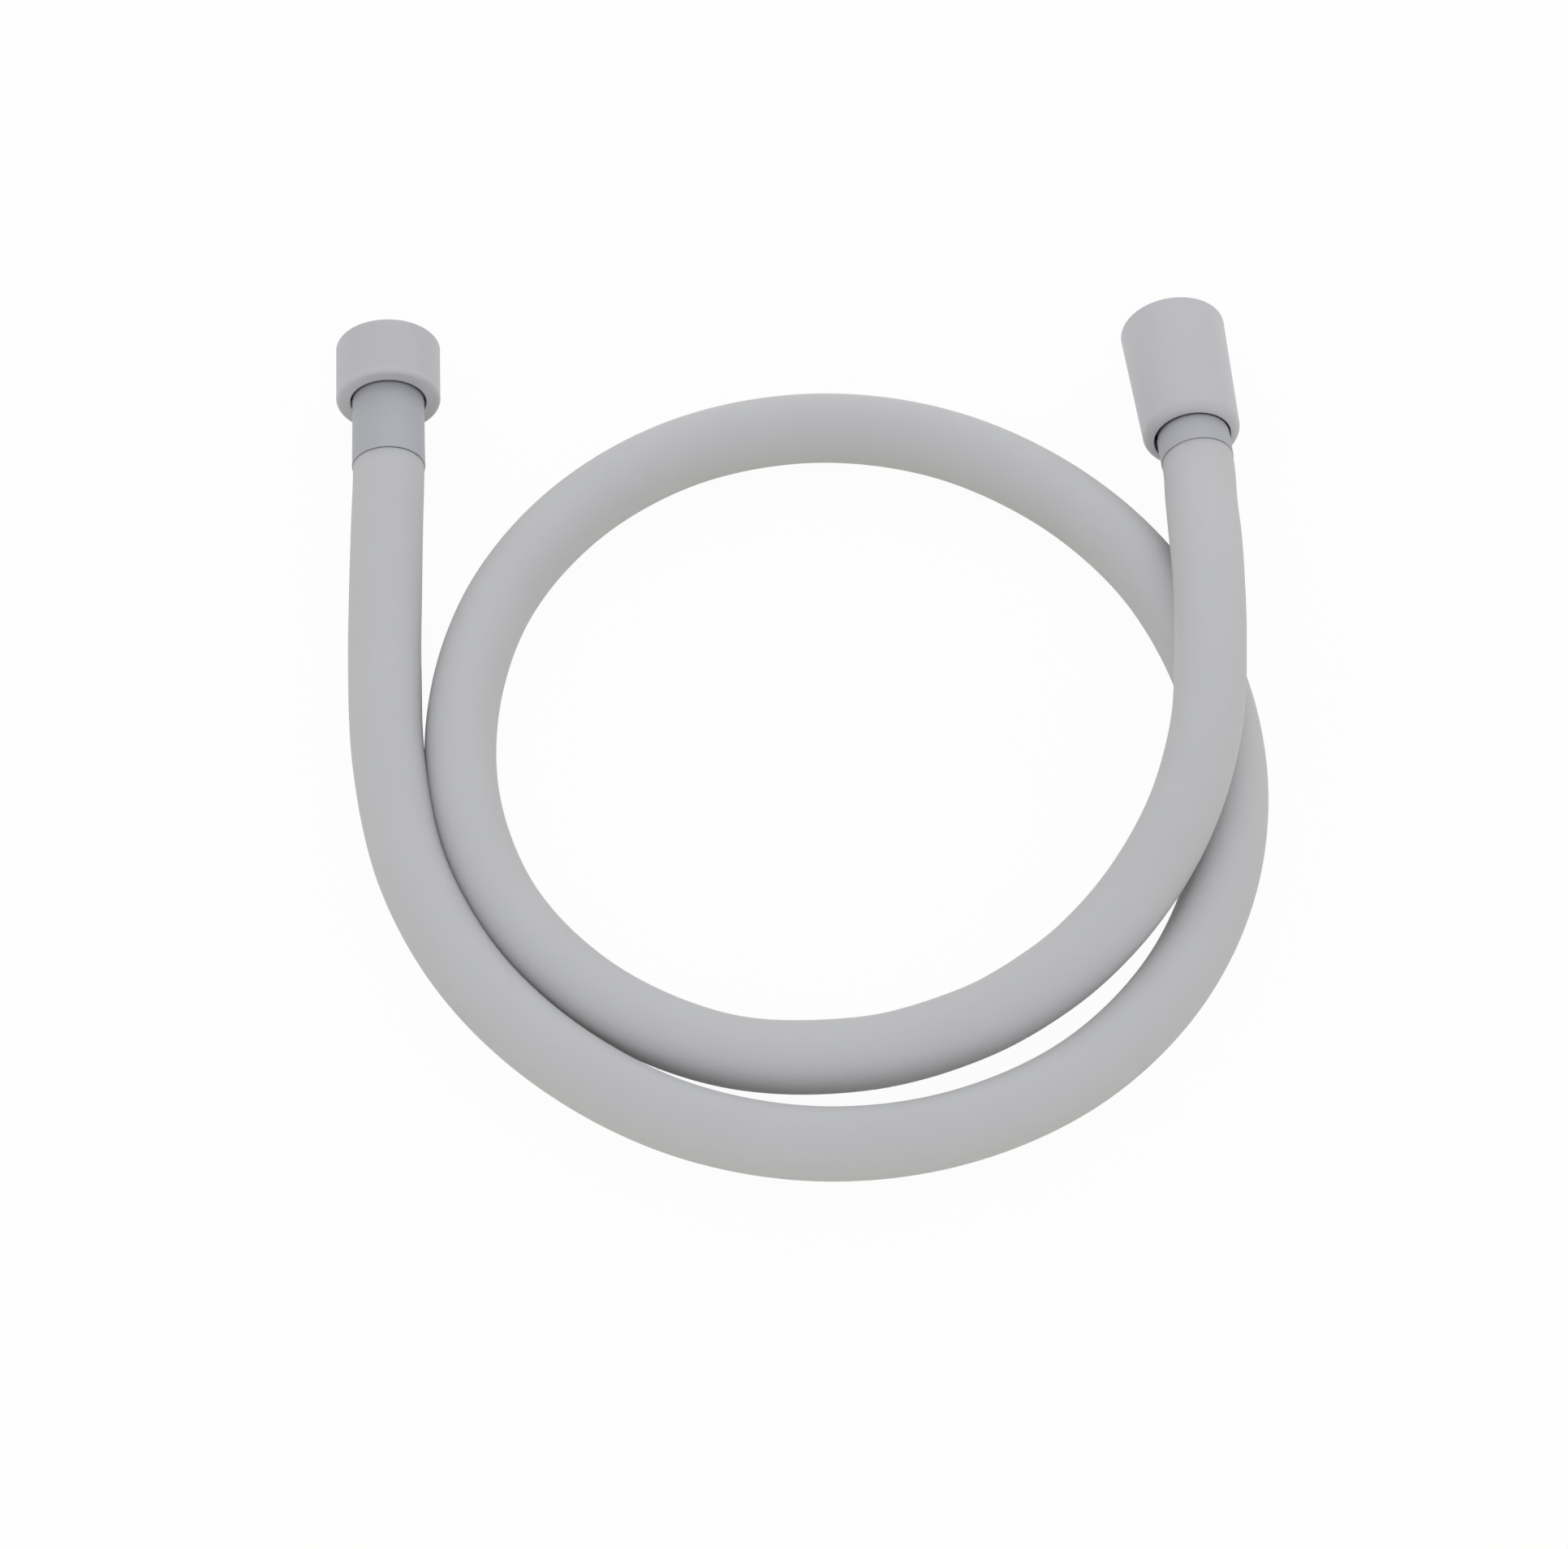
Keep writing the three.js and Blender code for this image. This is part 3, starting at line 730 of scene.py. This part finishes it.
dress(conical_nut, satin_lacquer, "handset_nut", "nut", "conical_nut")

# %% [markdown]
# This ferrule draws in a little towards its mouth. The sleeve inside the nut turns on the spindle
# of the swivel tail, so the handset can be turned without twisting the hose. The spindle has two
# grooves for the O-rings that keep it tight and one for the snap ring that holds it in the sleeve.

# %% Handset ferrule, washer and swivel
handset_ferrule = spin_piece("ferrule_handset", [
    (7.85, 0.3), *arc(8.32, 0.38, 0.08, -90, 0), (8.43, 3.0), (8.45, CONE_BACK - 0.1),
    (8.15, CONE_BACK + 0.1), *arc(7.95, 13.6, 0.2, 0, 90),
    (6.2, 13.8), (6.2, 13.2), (7.85, 13.2),
], HANDSET_END)
dress(handset_ferrule, satin_steel, "hose_assembly", "ferrule", "handset_ferrule")

handset_washer = spin_piece("washer_handset", washer_outline(29.3), HANDSET_END)
dress(handset_washer, black_rubber, "swivel", "seal", "handset_washer")

swivel_sleeve = spin_piece("swivel_sleeve_brass", [
    (5.45, 17.3), (8.1, 17.3), (8.3, 17.5), (8.3, 27.0), (9.0, 27.0), (9.15, 27.15), (9.15, 28.85),
    (9.0, 29.0), (7.5, 29.0), (7.3, 28.8), (7.3, 25.2), (5.45, 25.2),
], HANDSET_END)
dress(swivel_sleeve, turned_brass, "swivel", "brass", "swivel_sleeve")

swivel_tail = spin_piece("swivel_tail_brass", [
    (3.0, 2), *barbs(2), (4.6, 12.9), (5.8, 12.9), (5.8, 14.1), (7.8, 14.1), (7.8, 15.7),
    (5.15, 15.7), (5.15, 18.9), (3.85, 18.9), (3.85, 20.5), (5.15, 20.5), (5.15, 21.8),
    (3.85, 21.8), (3.85, 23.4), (5.15, 23.4), (5.15, 25.4), (4.3, 25.4), (4.3, 26.4), (5.15, 26.4),
    (5.15, 27.2), (4.85, 27.5), (3.3, 27.5), (3.0, 27.2),
], HANDSET_END)
dress(swivel_tail, turned_brass, "hose_assembly", "brass", "swivel_tail")

# %% [markdown]
# The two O-rings, the thrust ring and the snap ring are closed in, and their CAD shapes are already
# right. They only get their real materials.

# %% Pieces that keep their CAD shape
for node_name, material in {
    "swivel_o_ring_1": black_rubber,
    "swivel_o_ring_2": black_rubber,
    "swivel_thrust_ring": white_acetal,
    "swivel_snap_ring": spring_steel,
}.items():
    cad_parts[node_name].material_slots[0].material = material
    print(node_name, "keeps its shape, in", material.name)

# %% The hose's finish and body
dress(hose, soft_pvc, "hose_assembly", "hose", "hose")

# %% [markdown]
# ## Floor and light
#
# The hose is shown on plain white under broad soft light, as in a catalogue. The world and the
# floor look white to the camera and in reflections, but light the hose at a plain level, so that
# its grey comes out as it is written. The light from the world is a trace cool, like daylight. The
# Standard view transform shows every colour as it is, without a film's soft shoulder.

# %% White world
AMBIENT = 0.875


def seen_directly(tree):
    """1 for rays from the camera, a reflection or through glass, and 0 for light on the object."""
    ray = add_node(tree, "ShaderNodeLightPath")
    either = add_node(tree, "ShaderNodeMath", {
        0: ray.outputs["Is Camera Ray"], 1: ray.outputs["Is Glossy Ray"]}, operation="MAXIMUM")
    return add_node(tree, "ShaderNodeMath", {
        0: either.outputs[0], 1: ray.outputs["Is Transmission Ray"]},
        operation="MAXIMUM").outputs[0]


world = bpy.data.worlds.new("white_studio")
bpy.context.scene.world = world
world.use_nodes = True
background = world.node_tree.nodes["Background"]
seen = seen_directly(world.node_tree)
world.node_tree.links.new(
    tone_between(world.node_tree, seen, "#FAFBFF", "#FFFFFF"), background.inputs["Color"])
world.node_tree.links.new(
    value_between(world.node_tree, seen, AMBIENT, 1.0), background.inputs["Strength"])
bpy.context.scene.view_settings.view_transform = "Standard"
print("world lights the hose at", AMBIENT)

# %% [markdown]
# The floor is matt white paper that takes the hose's soft shadow. Its colour is a little warm,
# which warms the undersides of the hose. A glow that only the camera and reflections see lifts the
# paper to white, so it lights nothing.

# %% Paper floor
FLOOR_GLOW = 0.955

floor_material = bpy.data.materials.new("white_paper_matt")
floor_material.use_nodes = True
tree = floor_material.node_tree
tree.nodes.remove(tree.nodes["Principled BSDF"])
fibres = add_node(tree, "ShaderNodeTexNoise", {
    "Vector": add_node(tree, "ShaderNodeTexCoord").outputs["Object"], "Scale": 40.0})
paper = add_node(tree, "ShaderNodeBsdfDiffuse", {
    "Color": tone_between(tree, fibres.outputs[0], "#ECE8DC", "#F1EDE1")})
glow = add_node(tree, "ShaderNodeEmission", {"Color": linear("#FFFFFF"), "Strength": 1.0})
share = value_between(tree, seen_directly(tree), 0.0, FLOOR_GLOW)
both = add_node(tree, "ShaderNodeMixShader", {
    0: share, 1: paper.outputs[0], 2: glow.outputs[0]})
tree.links.new(both.outputs[0], tree.nodes["Material Output"].inputs["Surface"])

bm = bmesh.new()
bmesh.ops.create_grid(bm, x_segments=1, y_segments=1, size=4)
floor = finished("floor", bm)
floor.data.materials.append(floor_material)
print("floor:", floor_material.name)

# %% [markdown]
# A large softbox low behind the hose lightens its far sides, and a small soft lamp behind the
# camera puts a faint shine on the rounded backs of the nuts.


# %% Two soft lamps
def soft_light(name, power, size, distance, swing, tilt):
    """A square lamp aimed at the hose, tilted from overhead about X and swung round Z."""
    lamp = bpy.data.objects.new(name, bpy.data.lights.new(name, "AREA"))
    bpy.context.collection.objects.link(lamp)
    lamp.data.size = size
    lamp.data.energy = power
    turn = Matrix.Rotation(math.radians(swing), 4, "Z")
    turn = turn @ Matrix.Rotation(math.radians(tilt), 4, "X")
    lamp.matrix_world = turn @ Matrix.Translation((0, 0, distance))
    print(f"{name}: {power} W, {size} m wide")


soft_light("softbox_behind", power=1.05, size=1.1, distance=0.9, swing=-8, tilt=-66)
soft_light("card_in_front", power=0.9, size=0.4, distance=1.6, swing=0, tilt=42)
